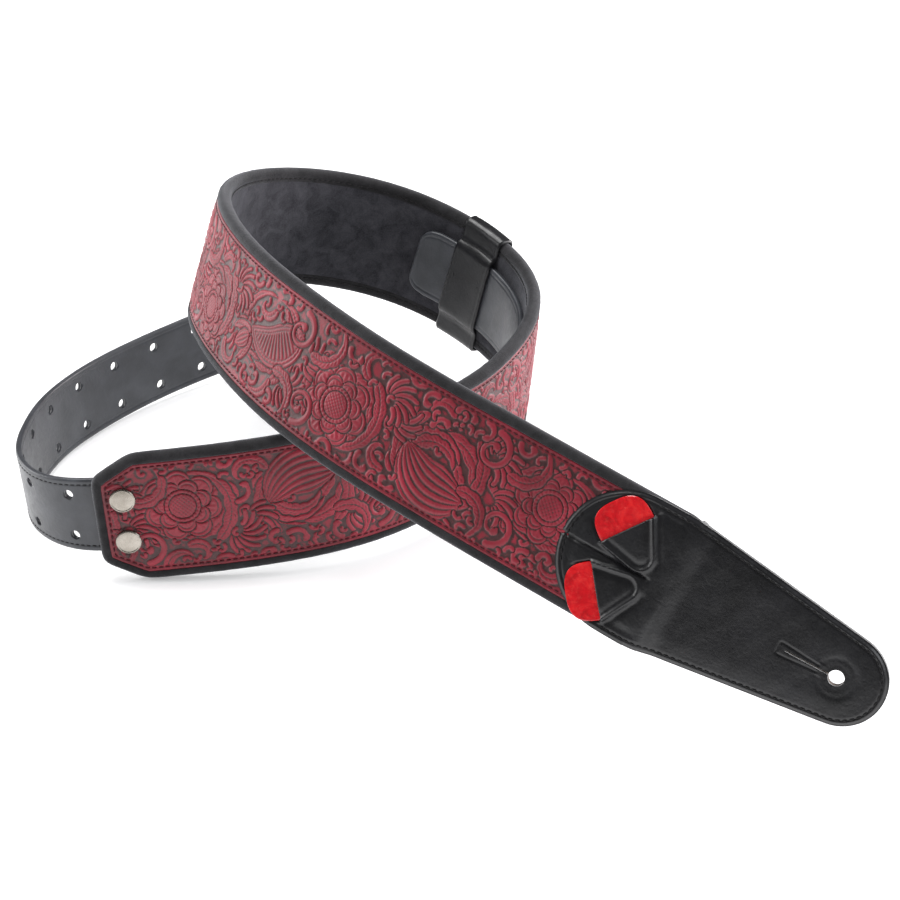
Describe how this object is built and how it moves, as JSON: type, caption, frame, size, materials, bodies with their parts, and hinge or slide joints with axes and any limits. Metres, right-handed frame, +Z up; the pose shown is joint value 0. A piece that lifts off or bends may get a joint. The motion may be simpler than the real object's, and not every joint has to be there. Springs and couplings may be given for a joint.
{
  "type": "guitar strap",
  "caption": "Padded guitar strap in a loose coil: tooled leather face, button tab, plectrum pockets and a perforated adjuster strap.",
  "frame": {"origin": "on the floor under the middle of the coiled strap", "axes": "+Z up, the strap standing on its edge; +X towards the button tab's side; -Y towards the viewer the leather face and tab point at"},
  "size_m": [0.4243, 0.3849, 0.1464],
  "materials": {
    "tooled_leather": "embossed, antiqued",
    "foam": "open-cell foam",
    "webbing": "woven",
    "suede": "suede nap",
    "binding": "suede nap",
    "red_thread": "sewn",
    "black_thread": "sewn",
    "black_leather": "smooth, semi-gloss",
    "leatherboard": "pressed fibre",
    "red_celluloid": "gloss, mottled",
    "nickel": "satin",
    "grey_leather": "smooth, semi-gloss"
  },
  "bodies": {
    "band": {"front_leather": "tooled_leather", "foam_core": "foam", "load_webbing": "webbing", "back_lining": "suede", "edge_binding": "binding", "face_seam_thread": "red_thread", "lining_seam_thread": "black_thread", "pocket_panel": "black_leather", "pocket_backing": "black_leather", "pocket_seam_thread": "black_thread", "stud_caps": "nickel", "stud_washers": "nickel", "adjuster_face": "grey_leather", "adjuster_lining": "grey_leather", "adjuster_edge_thread": "black_thread"},
    "tab": {"tab_leather": "black_leather", "tab_stiffener": "leatherboard", "tab_lining": "black_leather", "tab_seam_thread": "black_thread"},
    "upper_plectrum": {"pick_upper": "red_celluloid"},
    "lower_plectrum": {"pick_lower": "red_celluloid"},
    "upper_screw": {"stud_screw_upper": "nickel"},
    "lower_screw": {"stud_screw_lower": "nickel"},
    "keeper": {"keeper_loop": "black_leather", "keeper_thread": "black_thread"}
  },
  "joints": [
    {"name": "tab_flex", "type": "hinge", "parent": "band", "child": "tab", "pos_m": [0.1153, -0.147, 0.0579], "axis": [0.4312, 0.2672, 0.8618], "range_deg": [-25, 25], "stiffness_Nm_per_rad": 0.3},
    {"name": "upper_plectrum_slide", "type": "slide", "parent": "band", "child": "upper_plectrum", "axis": [-0.4448, 0.4601, 0.7684], "range_m": [0, 0.02]},
    {"name": "lower_plectrum_slide", "type": "slide", "parent": "band", "child": "lower_plectrum", "axis": [-0.9565, 0.143, -0.2543], "range_m": [0, 0.02]},
    {"name": "upper_screw_turn", "type": "hinge", "parent": "band", "child": "upper_screw", "pos_m": [-0.14975, -0.04358, 0.0446], "axis": [0.0488, -0.9916, 0.1194], "continuous": true},
    {"name": "lower_screw_turn", "type": "hinge", "parent": "band", "child": "lower_screw", "pos_m": [-0.1478, -0.04622, 0.02184], "axis": [0.0488, -0.9916, 0.1194], "continuous": true},
    {"name": "keeper_slide", "type": "hinge", "parent": "band", "child": "keeper", "pos_m": [-0.04241, 0.08602, 0.07004], "axis": [-0.2427, 0.0024, -0.9701], "range_deg": [-4, 4]}
  ]
}
